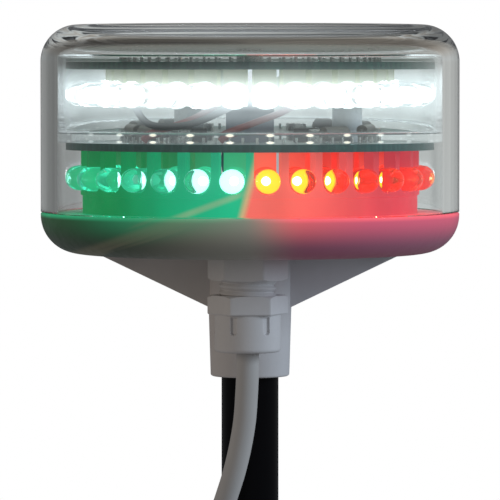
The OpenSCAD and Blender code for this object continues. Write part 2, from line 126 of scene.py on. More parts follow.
def place(mat):
    # the piece's own coordinates, and x, y and z apart
    spot = add(mat, "ShaderNodeTexCoord").outputs["Object"]
    apart = add(mat, "ShaderNodeSeparateXYZ", {0: spot}).outputs
    return spot, apart[0], apart[1], apart[2]


def ease(mat, value, low, high, outLow=0.0, outHigh=1.0):
    # a smooth step from outLow to outHigh as value goes from low to high
    return add(mat, "ShaderNodeMapRange", {
        "Value": value, "From Min": low, "From Max": high, "To Min": outLow, "To Max": outHigh,
    }, interpolation_type="SMOOTHSTEP").outputs[0]


def noise(mat, spot, scale, detail=3.0, rough=0.5, stretch=(1.0, 1.0, 1.0)):
    turned = add(mat, "ShaderNodeMapping", {"Vector": spot, "Scale": stretch}).outputs[0]
    return add(mat, "ShaderNodeTexNoise", {
        "Vector": turned, "Scale": scale, "Detail": detail, "Roughness": rough,
    }).outputs["Fac"]


def blendColours(mat, factor, a, b):
    return add(mat, "ShaderNodeMix", {0: factor, 6: a, 7: b}, data_type="RGBA").outputs[2]


def sectorAngle(mat, x, y):
    # degrees round from the bow, positive towards the red side
    return times(mat, calc(mat, "ARCTAN2", x, times(mat, y, -1.0)), 180 / math.pi)


def heightAbove(mat, z):
    # millimetres above the underside of the base
    return minus(mat, times(mat, z, 1000.0), headZ * 1000)


def fromLed(mat, angle):
    # -0.5 to 0.5 across each LED's share of the ring, 0 at its middle
    return minus(mat, calc(mat, "FRACT", over(mat, plus(mat, angle, 360.0), ledPitch)), 0.5)


def slantLine(mat, wide, high):
    # height above the slanting edge of the green light, which runs down and outwards over drum and base
    return minus(mat, minus(mat, high, 9.5), times(mat, plus(mat, wide, 11.6), 0.38))


def bump(mat, height, strength, distance):
    return add(mat, "ShaderNodeBump", {
        "Height": height, "Strength": strength, "Distance": distance,
    }).outputs["Normal"]


def grained(mat, shader, grain, rough, depth, distance=0.0001):
    # roughness and a shallow bump that follow one grain
    feed(mat, ease(mat, grain, 0.3, 0.7, *rough), shader, "Roughness")
    feed(mat, bump(mat, grain, depth, distance), shader, "Normal")


def paintLight(mat, shader, colour, power):
    # light painted on a piece, left out of light sampling
    give(mat, shader, {"Emission Color": colour, "Emission Strength": power})
    mat.cycles.emission_sampling = "NONE"


def glowing(name, colour, strength):
    mat = bpy.data.materials.new(name)
    mat.use_nodes = True
    mat.node_tree.nodes.remove(mat.node_tree.nodes["Principled BSDF"])
    glow = add(mat, "ShaderNodeEmission", {"Color": colour, "Strength": strength})
    mat.node_tree.links.new(glow.outputs[0], mat.node_tree.nodes["Material Output"].inputs[0])
    mat.cycles.emission_sampling = "NONE"
    return mat, glow


def newObject(name, mesh, mats):
    obj = bpy.data.objects.new(name, mesh)
    bpy.context.scene.collection.objects.link(obj)
    for mat in mats:
        mesh.materials.append(mat)
    return obj


def quadMesh(name, points, quads, sharp=35.0, slots=None):
    # a mesh from whole arrays: points (n, 3) in metres and quads (m, 4); doubles merged, faces turned outwards
    mesh = bpy.data.meshes.new(name)
    mesh.vertices.add(len(points))
    mesh.vertices.foreach_set("co", np.ascontiguousarray(points, np.float32).ravel())
    mesh.loops.add(quads.size)
    mesh.loops.foreach_set("vertex_index", quads.astype(np.int32).ravel())
    mesh.polygons.add(len(quads))
    mesh.polygons.foreach_set("loop_start", np.arange(0, quads.size, 4, dtype=np.int32))
    if slots is not None:
        mesh.polygons.foreach_set("material_index", slots.astype(np.int32))
    mesh.update(calc_edges=True)
    shape = bmesh.new()
    shape.from_mesh(mesh)
    bmesh.ops.remove_doubles(shape, verts=shape.verts, dist=2e-7)
    bmesh.ops.recalc_face_normals(shape, faces=shape.faces)
    shape.to_mesh(mesh)
    shape.free()
    mesh.shade_smooth()
    mesh.set_sharp_from_angle(angle=math.radians(sharp))
    return mesh


def gridQuads(rows, columns, closeRows=False, closeColumns=False):
    # the four corners of each cell of a grid of rows by columns, wrapping round where it closes
    r = np.arange(rows if closeRows else rows - 1)
    c = np.arange(columns if closeColumns else columns - 1)
    r, c = np.meshgrid(r, c, indexing="ij")
    rNext, cNext = (r + 1) % rows, (c + 1) % columns
    corners = [r * columns + c, r * columns + cNext, rNext * columns + cNext, rNext * columns + c]
    return np.stack(corners, -1).reshape(-1, 4)


def arc(centreR, centreZ, radius, start, end, steps=12):
    # points of an arc in the half plane of radius and height, angles in degrees from outwards
    a = np.radians(np.linspace(start, end, steps))
    return np.stack([centreR + radius * np.cos(a), centreZ + radius * np.sin(a)], 1)


def turned(name, profile, segments=192, lift=headZ, centre=(0.0, 0.0), closed=False, sharp=35.0):
    # a profile of (radius, height) in millimetres turned once about an upright axis
    p = np.vstack([np.atleast_2d(np.asarray(q, float)) for q in profile]) * mm
    a = np.linspace(0, 2 * np.pi, segments, endpoint=False)
    points = np.stack([
        centre[0] * mm + p[:, None, 0] * np.cos(a),
        centre[1] * mm + p[:, None, 0] * np.sin(a),
        lift + np.repeat(p[:, None, 1], segments, 1),
    ], -1).reshape(-1, 3)
    return quadMesh(name, points, gridQuads(len(p), segments, closed, True), sharp)


def swept(line, radius, sides, across=(1.0, 0.0, 0.0)):
    # a round tube along a line: every ring stands square to it, and starts square to one fixed direction across
    along = np.gradient(line, axis=0)
    along /= np.linalg.norm(along, axis=1)[:, None]
    up = np.cross(along, across)
    up /= np.linalg.norm(up, axis=1)[:, None]
    side = np.cross(along, up)
    a = np.linspace(0, 2 * np.pi, sides, endpoint=False)
    r = np.broadcast_to(np.asarray(radius, float), (len(line),))[:, None, None]
    return line[:, None] + r * (np.cos(a)[None, :, None] * up[:, None] + np.sin(a)[None, :, None] * side[:, None])


def capped(rings):
    # closes a row of rings with a point at the middle of each end, as one grid
    start = np.repeat(rings[:1].mean(1, keepdims=True), rings.shape[1], 1)
    end = np.repeat(rings[-1:].mean(1, keepdims=True), rings.shape[1], 1)
    whole = np.concatenate([start, rings, end])
    return whole.reshape(-1, 3), gridQuads(len(whole), rings.shape[1], False, True)


def curved(points, steps=8):
    # the smooth curve through the points: each stretch is a cubic set by its two neighbours on either side
    p = np.asarray(points, float)
    q = np.concatenate([[2 * p[0] - p[1]], p, [2 * p[-1] - p[-2]]])
    t = (np.arange(steps) / steps)[None, :, None]
    a, b, c, d = (q[i:len(q) - 3 + i, None] for i in range(4))
    path = 0.5 * (2 * b + (c - a) * t + (2 * a - 5 * b + 4 * c - d) * t ** 2 + (3 * b - a - 3 * c + d) * t ** 3)
    return np.concatenate([path.reshape(-1, 3), p[-1:]])


def joined(parts):
    # several (points, quads) as one
    points, quads, count = [], [], 0
    for p, q in parts:
        points.append(p)
        quads.append(q + count)
        count += len(p)
    return np.concatenate(points), np.concatenate(quads)


def aim(obj, at, to):
    # puts a camera or a lamp at one point, looking at another
    way = np.array(to) - np.array(at)
    obj.location = at
    obj.rotation_euler = (math.atan2(math.hypot(way[0], way[1]), -way[2]), 0.0, math.atan2(-way[0], way[1]))


def setUp():
    camera = bpy.data.cameras.new("camera")
    camera.lens = stageLook["lens"]
    camera.sensor_width = 36.0
    camera.clip_start = 0.05
    camera.clip_end = 20.0
    eye = bpy.data.objects.new("camera", camera)
    bpy.context.scene.collection.objects.link(eye)
    aim(eye, stageLook["cameraAt"], stageLook["lookAt"])
    scene = bpy.context.scene
    scene.camera = eye
    scene.view_settings.view_transform = "Standard"
    # clear plastic inside clear plastic needs many turns of each ray
    scene.cycles.max_bounces = 28
    scene.cycles.glossy_bounces = 20
    scene.cycles.transmission_bounces = 24

    world = bpy.data.worlds.new("room")
    world.use_nodes = True
    world.node_tree.nodes["Background"].inputs[0].default_value = stageLook["world"]
    scene.world = world


def onlySeenBy(obj, camera=False, transmission=False):
    obj.visible_camera = camera
    obj.visible_transmission = transmission
    obj.visible_glossy = False
    obj.visible_diffuse = False
    obj.visible_shadow = False
    obj.visible_volume_scatter = False


def addBackdrop():
    # a white shell that only the camera sees, and a grey one that only shows through clear plastic
    ball = [arc(0, 0, 1000, -90, 90, 33)]
    white, _ = glowing("backdropWhite", (1, 1, 1, 1), 1.0)
    mesh = turned("backdrop", [q * stageLook["backdropRadius"] for q in ball], 64, 0.1)
    backdrop = newObject("backdrop", mesh, [white])
    onlySeenBy(backdrop, camera=True)

    grey, glow = glowing("throughGrey", (0.5, 0.5, 0.5, 1), 1.0)
    x, y, z = place(grey)[1:]
    # darker towards the green side and towards the zenith and nadir, in broad upright stripes
    turn = calc(grey, "ARCTAN2", x, y)
    across = times(grey, ease(grey, turn, -0.55, 0.28, 0.31, 1.0), ease(grey, turn, 0.7, 1.9, 1.0, 0.6))
    steep = ease(grey, absolute(grey, minus(grey, z, 0.16)), 0.45, 1.7, 1.0, 0.32)
    stripes = noise(grey, joinedXYZ(grey, times(grey, turn, 3.0), times(grey, z, 0.25), 0.0), 2.3, 1.0)
    level = times(grey, times(grey, across, steep), ease(grey, stripes, 0.3, 0.7, 0.86, 1.12))
    tone = blendColours(grey, ease(grey, z, -0.6, 1.6), (0.60, 0.635, 0.63, 1), (0.42, 0.37, 0.31, 1))
    feed(grey, tone, glow, "Color")
    feed(grey, level, glow, "Strength")
    mesh = turned("throughShell", [q * stageLook["throughRadius"] for q in ball], 64, 0.1)
    through = newObject("throughShell", mesh, [grey])
    onlySeenBy(through, transmission=True)

    pale, shader = look("floorPale")
    spot = place(pale)[0]
    speck = noise(pale, spot, 240.0, 2.0)
    feed(pale, blendColours(pale, speck, (0.80, 0.80, 0.79, 1), (0.9, 0.9, 0.89, 1)), shader, "Base Color")
    shader.inputs["Roughness"].default_value = 0.75
    shader.inputs["Emission Color"].default_value = (1.0, 1.0, 1.0, 1.0)
    shader.inputs["Emission Strength"].default_value = 0.62
    r = stageLook["floorRadius"] * 1000
    mesh = turned("floor", [(0, 0), (r - 6, 0), (r, -6), (r - 6, -12), (0, -12)], 128, 0.0)
    floor = newObject("floor", mesh, [pale])
    onlySeenBy(floor, camera=True)


def addLights():
    for name, at, power, size, colour in stageLook["lamps"]:
        lamp = bpy.data.lights.new(name, "AREA")
        lamp.energy = power
        lamp.size = size
        lamp.color = colour
        obj = bpy.data.objects.new(name, lamp)
        bpy.context.scene.collection.objects.link(obj)
        aim(obj, at, stageLook["lampsLookAt"])
        obj.visible_transmission = False
        obj.visible_glossy = False      # no lamp shapes mirrored in the cover


def addBloom():
    # the soft bloom of lit LEDs; the backdrop stays below its threshold
    scene = bpy.context.scene
    scene.use_nodes = True
    tree = scene.node_tree
    tree.nodes.clear()
    seen = tree.nodes.new("CompositorNodeRLayers")
    glare = tree.nodes.new("CompositorNodeGlare")
    done = tree.nodes.new("CompositorNodeComposite")
    glare.glare_type = "BLOOM"
    for name, value in stageLook["bloom"].items():
        glare.inputs[name].default_value = value
    tree.links.new(seen.outputs["Image"], glare.inputs["Image"])
    tree.links.new(glare.outputs["Image"], done.inputs["Image"])


setUp()
addBackdrop()
addLights()
addBloom()
print("camera, backdrop and lights")


# the cable
cableLook = {
    "diameter": 4.7,
    "route": [
        (-0.45, -17.5, -19.8), (-0.5, -17.5, -24), (-0.7, -17.5, -28.5), (-1.1, -17.4, -34), (-2, -17, -39.5),
        (-3.3, -16.2, -45), (-5, -14.6, -50.5), (-6.8, -12, -56), (-8.4, -8.6, -62), (-9.3, -4.4, -68.5),
        (-9, 0, -75), (-7.8, 3.4, -82), (-6.4, 6, -88.5), (-5.2, 8.2, -95),
    ],
    "coilCentre": (34.95, -92.0),
    "outerTurn": 26.6,
    "innerTurn": 21.6,
    "besideTurn": 4.8,
    "startAngle": 20.0,
    "endAngle": 1875.0,
    "length": 0.87,
    "coreRadius": 0.0008,
    "strandRadii": (0.0005, 0.0005, 0.0005, 0.0003),
    "strandSteps": (-0.0005, 0.0, 0.0035, 0.0045),
}


def smoothStep(t):
    t = np.clip(t, 0, 1)
    return t * t * (3 - 2 * t)


def cableLine():
    # the free stretch, then a little over five turns, in an outer layer and then an inner one:
    # the angle grows steadily, while the place across and the radius change in smooth steps
    s = cableLook
    a = np.arange(s["startAngle"], s["endAngle"] + 0.1, 15.0)
    across = -1 + smoothStep((a - 250) / 110) + smoothStep((a - 610) / 110)
    across = across - smoothStep((a - 1200) / 100) - smoothStep((a - 1560) / 100)
    r = s["outerTurn"] - (s["outerTurn"] - s["innerTurn"]) * smoothStep((a - 880) / 200)
    ar = np.radians(a)
    coil = np.stack([
        s["besideTurn"] * across, s["coilCentre"][0] - r * np.cos(ar), s["coilCentre"][1] - r * np.sin(ar),
    ], 1)
    line = curved(np.concatenate([np.array(s["route"]), coil]), 4) * mm
    line[:, 2] += headZ
    return line


def cableSheath():
    mat, shader = look("cableSheath")
    spot = place(mat)[0]
    fine = noise(mat, spot, 900.0, 3.0)
    broad = noise(mat, spot, 60.0, 2.0)
    feed(mat, blendColours(mat, broad, (0.47, 0.45, 0.43, 1), (0.55, 0.54, 0.53, 1)), shader, "Base Color")
    grained(mat, shader, fine, (0.36, 0.52), 0.12, 0.00008)
    return mat


def coreMaterial(name, colour):
    mat, shader = look(name)
    spot = place(mat)[0]
    fine = noise(mat, spot, 1500.0, 2.0)
    darker = tuple(c * 0.8 for c in colour[:3]) + (1,)
    feed(mat, blendColours(mat, fine, darker, colour), shader, "Base Color")
    feed(mat, ease(mat, fine, 0.3, 0.7, 0.32, 0.48), shader, "Roughness")
    return mat


def bareMetal(name, scale, a, b, rough):
    mat, shader = look(name)
    tone = blendColours(mat, noise(mat, place(mat)[0], scale), a, b)
    give(mat, shader, {"Base Color": tone, "Metallic": 1.0, "Roughness": rough})
    return mat


def addCable():
    line = cableLine()
    radius = cableLook["diameter"] / 2 * mm
    rings = swept(line, radius, 20)
    points, quads = capped(rings)
    lead = newObject("cableLead", quadMesh("cableLead", points, quads), [cableSheath()])
    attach(lead, "head")
    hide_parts("cable_run", "cable_coil")

    # three bared cores leave the sheath's end and bend gently inwards across the coil
    end, way = line[-1], line[-1] - line[-3]
    way = way / np.linalg.norm(way)
    parts, slots = [], []
    centre = np.array([0, cableLook["coilCentre"][0] * mm, cableLook["coilCentre"][1] * mm + headZ])
    inward = centre - end
    inward[0] = 0
    inward /= np.linalg.norm(inward)
    for i, sideways in enumerate((-1.0, 0.0, 1.0)):
        t = np.linspace(0, 1, 16)[:, None]
        spread = np.array([1.0, 0, 0]) * sideways * (0.0009 + 0.0022 * t ** 1.5)
        path = end + way * (0.018 * t - 0.0015) + inward * (0.0035 * t ** 2) + spread
        core = capped(swept(path, cableLook["coreRadius"], 10))
        onward = (path[-1] - path[-2]) / np.linalg.norm(path[-1] - path[-2])
        tip = path[-1] + onward * np.array(cableLook["strandSteps"])[:, None]
        wire = capped(swept(tip, np.array(cableLook["strandRadii"]), 10))
        parts += [core, wire]
        slots += [np.full(len(core[1]), i), np.full(len(wire[1]), 3)]
    points, quads = joined(parts)
    tinned = bareMetal("coreTips", 2500.0, (0.5, 0.5, 0.52, 1), (0.8, 0.8, 0.8, 1), 0.32)
    mats = [coreMaterial("coreBrown", (0.16, 0.07, 0.035, 1)), coreMaterial("coreBlue", (0.03, 0.12, 0.42, 1)),
            coreMaterial("coreBlack", (0.03, 0.03, 0.03, 1)), tinned]
    cores = newObject("cableCores", quadMesh("cableCores", points, quads, slots=np.concatenate(slots)), mats)
    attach(cores, "head")
    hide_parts("cable_ends")
    print("cable length", round(float(np.linalg.norm(np.diff(line, axis=0), axis=1).sum()), 4))


addCable()
print("cable")


# clear cover and lens sleeve
coverLook = {
    "radius": 44.0, "bore": 40.6, "top": 47.9, "inside": 43.9, "round": 7.75, "insideRound": 3.5,
    "foot": 8.6, "tongueIn": 41.0, "tongueOut": 42.6, "tongueFoot": 7.2,
}
sleeveLook = {"outside": 40.4, "inside": 39.35, "foot": 23.4, "top": 41.3, "flangeIn": 37.6, "flangeTop": 25.4}


def clearPlastic(name, tint, ior, rough, ripple, rippleSize, distance=0.0004, stretch=(1.0, 1.0, 0.35)):
    # clear moulded plastic: a faint ripple from the mould and a trace of tint
    mat, shader = look(name)
    spot = place(mat)[0]
    wave = noise(mat, spot, rippleSize, 1.0, stretch=stretch)
    give(mat, shader, {
        "Base Color": tint, "Transmission Weight": 1.0, "IOR": ior, "Roughness": rough,
        "Normal": bump(mat, wave, ripple, distance),
    })
    return mat


def litSleeve(mat):
    # light painted into the sleeve: a milky glow band beside the anchor LEDs, and at the flange's two edges
    # one painted glint, a reflection of each LED
    shader = mat.node_tree.nodes["Principled BSDF"]
    x, y, z = place(mat)[1:]
    high = heightAbove(mat, z)
    milkyGlow = times(mat, ease(mat, high, 26.2, 29.4), ease(mat, high, 35.0, 40.0, 1.0, 0.0))
    angle = sectorAngle(mat, x, y)
    cell = over(mat, fromLed(mat, angle), 0.13)
    outside = ease(mat, longSide(mat, x, y), 0.0400, 0.0402)
    glints = None
    for level, half in ((25.25, 0.42), (23.8, 0.34)):
        up = over(mat, minus(mat, high, level), half)
        one = ease(mat, longSide(mat, up, cell), 0.45, 1.0, 1.0, 0.0)
        glints = one if glints is None else calc(mat, "MAXIMUM", glints, one)
    fade = ease(mat, absolute(mat, angle), 18.0, 62.0, 1.0, 0.12)
    glints = times(mat, times(mat, glints, outside), fade)
    low = ease(mat, high, 25.6, 26.6, 0.045, 0.0)
    power = plus(mat, plus(mat, times(mat, milkyGlow, 0.115), low), times(mat, glints, 1.1))
    paintLight(mat, shader, blendColours(mat, glints, (0.86, 0.97, 1.0, 1), (1.0, 0.93, 0.70, 1)), power)


def addCover():
    s = coverLook
    outer = [
        (s["radius"] - 0.15, s["foot"]), (s["radius"], s["foot"] + 0.15), (s["radius"], s["top"] - s["round"]),
        arc(s["radius"] - s["round"], s["top"] - s["round"], s["round"], 0, 90, 44), (20, s["top"]), (0, s["top"]),
    ]
    inner = [
        (0, s["inside"]), (20, s["inside"]),
        arc(s["bore"] - s["insideRound"], s["inside"] - s["insideRound"], s["insideRound"], 90, 0, 30),
        (s["bore"], s["foot"]), (s["tongueIn"], s["foot"]), (s["tongueIn"], s["tongueFoot"]),
        (s["tongueOut"], s["tongueFoot"]), (s["tongueOut"], s["foot"]),
    ]
    glass = clearPlastic("coverPolycarbonate", (0.955, 0.975, 0.985, 1), 1.5, 0.0, 0.05, 40.0)
    cover = newObject("coverShell", turned("coverShell", outer + inner, 256, closed=True), [glass])
    cover.visible_shadow = False
    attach(cover, "head")
    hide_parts("clear_cover")

    s = sleeveLook
    profile = [
        (s["outside"], s["foot"]), (s["outside"], s["top"] - 0.3), (s["outside"] - 0.3, s["top"]),
        (s["inside"] + 0.3, s["top"]), (s["inside"], s["top"] - 0.3), (s["inside"], s["flangeTop"] + 0.5),
        arc(s["inside"] - 0.5, s["flangeTop"] + 0.5, 0.5, 0, -90, 6), (s["flangeIn"] + 0.2, s["flangeTop"]),
        (s["flangeIn"], s["flangeTop"] - 0.2), (s["flangeIn"], s["foot"]),
    ]
    glass = clearPlastic("sleeveClear", (0.95, 0.975, 0.97, 1), 1.5, 0.015, 0.25, 90.0)
    litSleeve(glass)
    sleeve = newObject("lensSleeve", turned("lensSleeve", profile, 256, closed=True), [glass])
    sleeve.visible_shadow = False
    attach(sleeve, "head")
    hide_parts("anchor_lens")


addCover()
print("cover and sleeve")


# LEDs
ledLook = {
    "count": 32, "back": 30.3, "flange": 2.9, "body": 2.5, "length": 8.6, "anchorZ": 33.05, "sectorZ": 15.9,
    "cupFoot": 3.1, "cupTop": 4.35, "chip": 0.38, "leadRadius": 0.28,
}


def ledAngles(kind):
    # the middles of the LEDs, from the bow towards the red side
    step = 2 * np.pi / ledLook["count"]
    places = {"anchor": (0, 32), "red": (0, 10), "stern": (10, 22), "green": (22, 32)}[kind]
    return (np.arange(*places) + 0.5) * step


def aroundRing(profile, angles, height, segments=24, aside=0.0, closed=False):
    # a profile of (radius, distance from the back) turned about each LED's own level axis,
    # at every angle of a ring
    p = np.vstack([np.atleast_2d(np.asarray(q, float)) for q in profile]) * mm
    t = np.linspace(0, 2 * np.pi, segments, endpoint=False)
    out = ledLook["back"] * mm + p[:, None, 1] + 0 * t
    wide = p[:, None, 0] * np.cos(t) + aside * mm
    high = p[:, None, 0] * np.sin(t) + height * mm + headZ
    a = angles[:, None, None]
    points = np.stack([out * np.sin(a) + wide * np.cos(a), -out * np.cos(a) + wide * np.sin(a), high + 0 * a], -1)
    cell = gridQuads(len(p), segments, closed, True)
    quads = (np.arange(len(angles)) * len(p) * segments)[:, None, None] + cell
    return points.reshape(-1, 3), quads.reshape(-1, 4)


def ledGlass(name, tint, epoxyGlow, epoxyGlowPower):
    # tinted epoxy with a painted glow of the LED's light
    mat = clearPlastic(name, tint, 1.53, 0.0, 0.05, 300.0, 0.0002, (1.0, 1.0, 1.0))
    paintLight(mat, mat.node_tree.nodes["Principled BSDF"], epoxyGlow, epoxyGlowPower)
    return mat


def addLeds():
    s = ledLook
    body = [
        (0, 0), (s["flange"] - 0.15, 0), (s["flange"], 0.15), (s["flange"], 0.85),
        (s["flange"] - 0.15, 1.0), (s["body"], 1.0),
        arc(0, s["length"] - s["body"], s["body"], 0, 90, 14),
    ]
    cup = [
        (0, s["cupFoot"]), (0.95, s["cupFoot"]), (1.05, s["cupFoot"] + 0.1), (1.05, s["cupTop"]), (0.95, s["cupTop"]),
        (0.5, s["cupFoot"] + 0.45), (0, s["cupFoot"] + 0.45),
    ]
    top = s["cupTop"]
    chip = [(0, top), (s["chip"] * 0.9, top), (s["chip"], top + 0.1), (s["chip"] * 0.8, top + 0.2), (0, top + 0.2)]
    gel = [(0, top - 0.25), (0.9, top - 0.25), (0.93, top - 0.12), (0.7, top + 0.04), (0, top + 0.1)]
    # for each kind: the ring's height, the CAD node, the record's slot, the epoxy's tint, the light,
    # its strength in the filled cup and at the chip, and the painted glow in the epoxy with its strength
    rings = {
        "anchor": (s["anchorZ"], "anchor_leds", "led_lens_clear", (0.97, 0.985, 1.0, 1),
                   (0.90, 0.96, 1.0, 1), 60.0, 260.0, (0.90, 0.97, 1.0, 1), 0.30),
        "green": (s["sectorZ"], "green_leds", "led_lens_green", (0.42, 0.97, 0.76, 1),
                  (0.55, 1.0, 0.90, 1), 2.6, 60.0, (0.05, 0.75, 0.50, 1), 0.16),
        "red": (s["sectorZ"], "red_leds", "led_lens_red", (1.0, 0.22, 0.16, 1),
                (1.0, 0.78, 0.02, 1), 2.5, 30.0, (1.0, 0.08, 0.03, 1), 0.14),
        "stern": (s["sectorZ"], "stern_leds", "led_lens_clear", (0.97, 0.985, 1.0, 1),
                  (0.95, 0.98, 1.0, 1), 20.0, 90.0, (0.88, 0.95, 1.0, 1), 0.2),
    }
    frames = []
    for name, (height, node, slotName, tint, light, cupPower, chipPower, epoxyGlow, epoxyGlowPower) in rings.items():
        angles = ledAngles(name)
        points, quads = aroundRing(body, angles, height, 32)
        epoxy = ledGlass(name + "LedEpoxy", tint, epoxyGlow, epoxyGlowPower)
        obj = newObject(name + "LedBodies", quadMesh(name + "LedBodies", points, quads, 50.0), [epoxy])
        obj.visible_shadow = False
        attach(obj, "head")
        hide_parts(node)
        soft, _ = glowing(name + "CupLight", light, cupPower)
        hot, _ = glowing(name + "ChipLight", (light[0], (light[1] + 1) / 2, (light[2] + 1) / 2, 1), chipPower)
        parts = [aroundRing(gel, angles, height, 16), aroundRing(chip, angles, height, 12)]
        points, quads = joined(parts)
        slots = np.concatenate([np.full(len(q), i) for i, (_, q) in enumerate(parts)])
        obj = newObject(name + "LedChips", quadMesh(name + "LedChips", points, quads, slots=slots), [soft, hot])
        obj.visible_diffuse = False
        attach(obj, "head")
        frames.append(aroundRing(cup, angles, height, 16))
        for end, aside in ((s["cupFoot"] + 0.1, 0.9), (s["cupTop"] - 0.2, -1.6)):
            lead = [(0, 0.02), (s["leadRadius"], 0.02), (s["leadRadius"], end), (0, end)]
            frames.append(aroundRing(lead, angles, height, 6, aside))
    metal = bareMetal("leadFrame", 1800.0, (0.62, 0.60, 0.57, 1), (0.85, 0.84, 0.82, 1), 0.28)
    points, quads = joined(frames)
    obj = newObject("ledFrames", quadMesh("ledFrames", points, quads), [metal])
    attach(obj, "head")


addLeds()
print("LEDs")


# carrier drum
drumLook = {
    "skirt": 35.2, "wall": 35.6, "inside": 33.0, "foot": 5.0, "step": 12.3, "top": 21.8, "slot": 2.7, "slotZ": 15.9,
    "postAngles": (60, 120, 225, 315), "postRing": 20.0,
    "postRadii": (0.0, 3.0, 3.0, 1.25, 1.25, 0.0), "postHeights": (11.9, 11.9, 21.8, 21.8, 15.0, 15.0),
}


def drumPlastic():
    # white plastic soaked in the light of the LEDs it holds: green to starboard, red to port and white astern
    mat, shader = look("carrierPlastic")
    spot, x, y, z = place(mat)
    angle = sectorAngle(mat, x, y)
    grain = noise(mat, spot, 700.0, 3.0)
    # the two colours meet along a slanting line, pale yellow where they mix
    lean = times(mat, minus(mat, z, headZ + 0.016), 420.0)
    toRed = ease(mat, minus(mat, angle, lean), -1.6, 2.6)
    mixed = minus(mat, 0.55, times(mat, absolute(mat, minus(mat, toRed, 0.5)), 1.1))
    turn = absolute(mat, angle)
    behind = ease(mat, turn, 109.0, 116.0)
    ahead = ease(mat, turn, 6.0, 55.0, 1.0, 0.0)
    cell = absolute(mat, fromLed(mat, angle))
    high = ease(mat, z, headZ + 0.0165, headZ + 0.0205)
    green = blendColours(mat, ahead, (0.0, 0.215, 0.055, 1), (0.004, 0.43, 0.21, 1))
    red = blendColours(mat, ahead, (0.56, 0.035, 0.06, 1), (0.84, 0.13, 0.10, 1))
    front = blendColours(mat, mixed, blendColours(mat, toRed, green, red), (0.62, 0.48, 0.22, 1))
    wide = times(mat, x, 1000.0)
    slant = slantLine(mat, wide, heightAbove(mat, z))
    # a painted streak of warm light along the slanting edge of the green light
    reach = times(mat, ease(mat, wide, -20.0, -12.0), ease(mat, wide, -3.0, 0.0, 1.0, 0.0))
    lightStreak = times(mat, ease(mat, absolute(mat, slant), 0.1, 1.1, 0.4, 0.0), reach)
    front = blendColours(mat, lightStreak, front, (0.42, 0.40, 0.24, 1))
    colour = blendColours(mat, behind, front, (0.42, 0.46, 0.50, 1))
    # painted shade: the painted light is dimmer between the LEDs in the drum's upper part
    shadeBetweenLeds = times(mat, ease(mat, cell, 0.2, 0.46, 0.0, 0.18), high)
    uneven = ease(mat, noise(mat, spot, 110.0, 2.0, stretch=(1.0, 1.0, 0.5)), 0.3, 0.7, 0.9, 1.1)
    power = times(mat, minus(mat, 1.0, shadeBetweenLeds), uneven)
    # painted light in the base colour too: green and red LED light on the white plastic, plain pale grey astern
    white = blendColours(mat, toRed, (0.0, 0.11, 0.045, 1), (0.34, 0.05, 0.05, 1))
    white = blendColours(mat, behind, white, (0.62, 0.63, 0.64, 1))
    shader.inputs["Specular IOR Level"].default_value = 0.12
    feed(mat, white, shader, "Base Color")
    grained(mat, shader, grain, (0.5, 0.64), 0.1)
    paintLight(mat, shader, colour, power)
    return mat


def drumMesh():
    # two skins joined along a top line: at each LED the line drops down a slot's side and round its half circle
    s = drumLook
    pitch = 2 * np.pi / ledLook["count"]
    edge = s["slot"] / s["wall"]
    t = np.linspace(-1, 1, 13)
    cellAngle = np.concatenate([[-edge], t * edge, [edge], np.linspace(edge, pitch - edge, 6)[1:-1]])
    halfCircle = s["slotZ"] - s["slot"] * np.sqrt(1 - t ** 2)
    cellTop = np.concatenate([[s["top"]], halfCircle, np.full(5, s["top"])])
    angles = (np.arange(ledLook["count"])[:, None] + 0.5) * pitch + cellAngle
    top = np.tile(cellTop, ledLook["count"])
    a = angles.ravel()

    def at(radius, height):
        return np.stack([radius * mm * np.sin(a), -radius * mm * np.cos(a), headZ + height * mm + 0 * a], 1)

    rows = [
        at(s["inside"], 10.0), at(s["inside"], s["foot"]), at(s["skirt"], s["foot"]), at(s["skirt"], s["step"]),
        at(s["wall"], s["step"] + 0.1), at(s["wall"], top - 0.12), at(s["wall"] - 0.12, top), at(s["inside"], top),
        at(s["inside"], 12.0), at(5.0, 12.0), at(5.0, s["top"]), at(1.5, s["top"]), at(1.5, 14.0), at(0.0, 14.0),
    ]
    start = [at(0.0, 10.0)]
    grid = np.concatenate(start + rows)
    return grid, gridQuads(len(rows) + 1, len(a), False, True)


def addDrum():
    parts = [drumMesh()]
    a = np.linspace(0, 2 * np.pi, 24, endpoint=False)
    r = np.array(drumLook["postRadii"])[:, None] * mm
    h = np.array(drumLook["postHeights"])[:, None] * mm + headZ
    far = drumLook["postRing"] * mm
    for post in np.radians(drumLook["postAngles"]):
        points = np.stack([
            far * np.cos(post) + r * np.cos(a), far * np.sin(post) + r * np.sin(a), h + 0 * a,
        ], -1).reshape(-1, 3)
        parts.append((points, gridQuads(len(r), len(a), False, True)))
    points, quads = joined(parts)
    drum = newObject("carrierDrum", quadMesh("carrierDrum", points, quads, 40.0), [drumPlastic()])
    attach(drum, "head")
    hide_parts("led_carrier")


addDrum()
print("carrier drum")


# base and bracket
baseLook = {
    "radius": 44.0, "rim": 8.6, "round": 8.0, "floor": 5.0, "well": 35.3,
    "grooveIn": 41.0, "grooveOut": 42.6, "grooveFoot": 6.0,
}
bracketLook = {
    "plate": (68.0, 16.0, 2.0), "half": 32.4, "thick": 4.5, "drop": 11.4, "collarTop": 8.72, "collarEnd": 8.3,
    "collarDrop": 26.0, "bore": 6.0, "boreTop": -1.5,
}


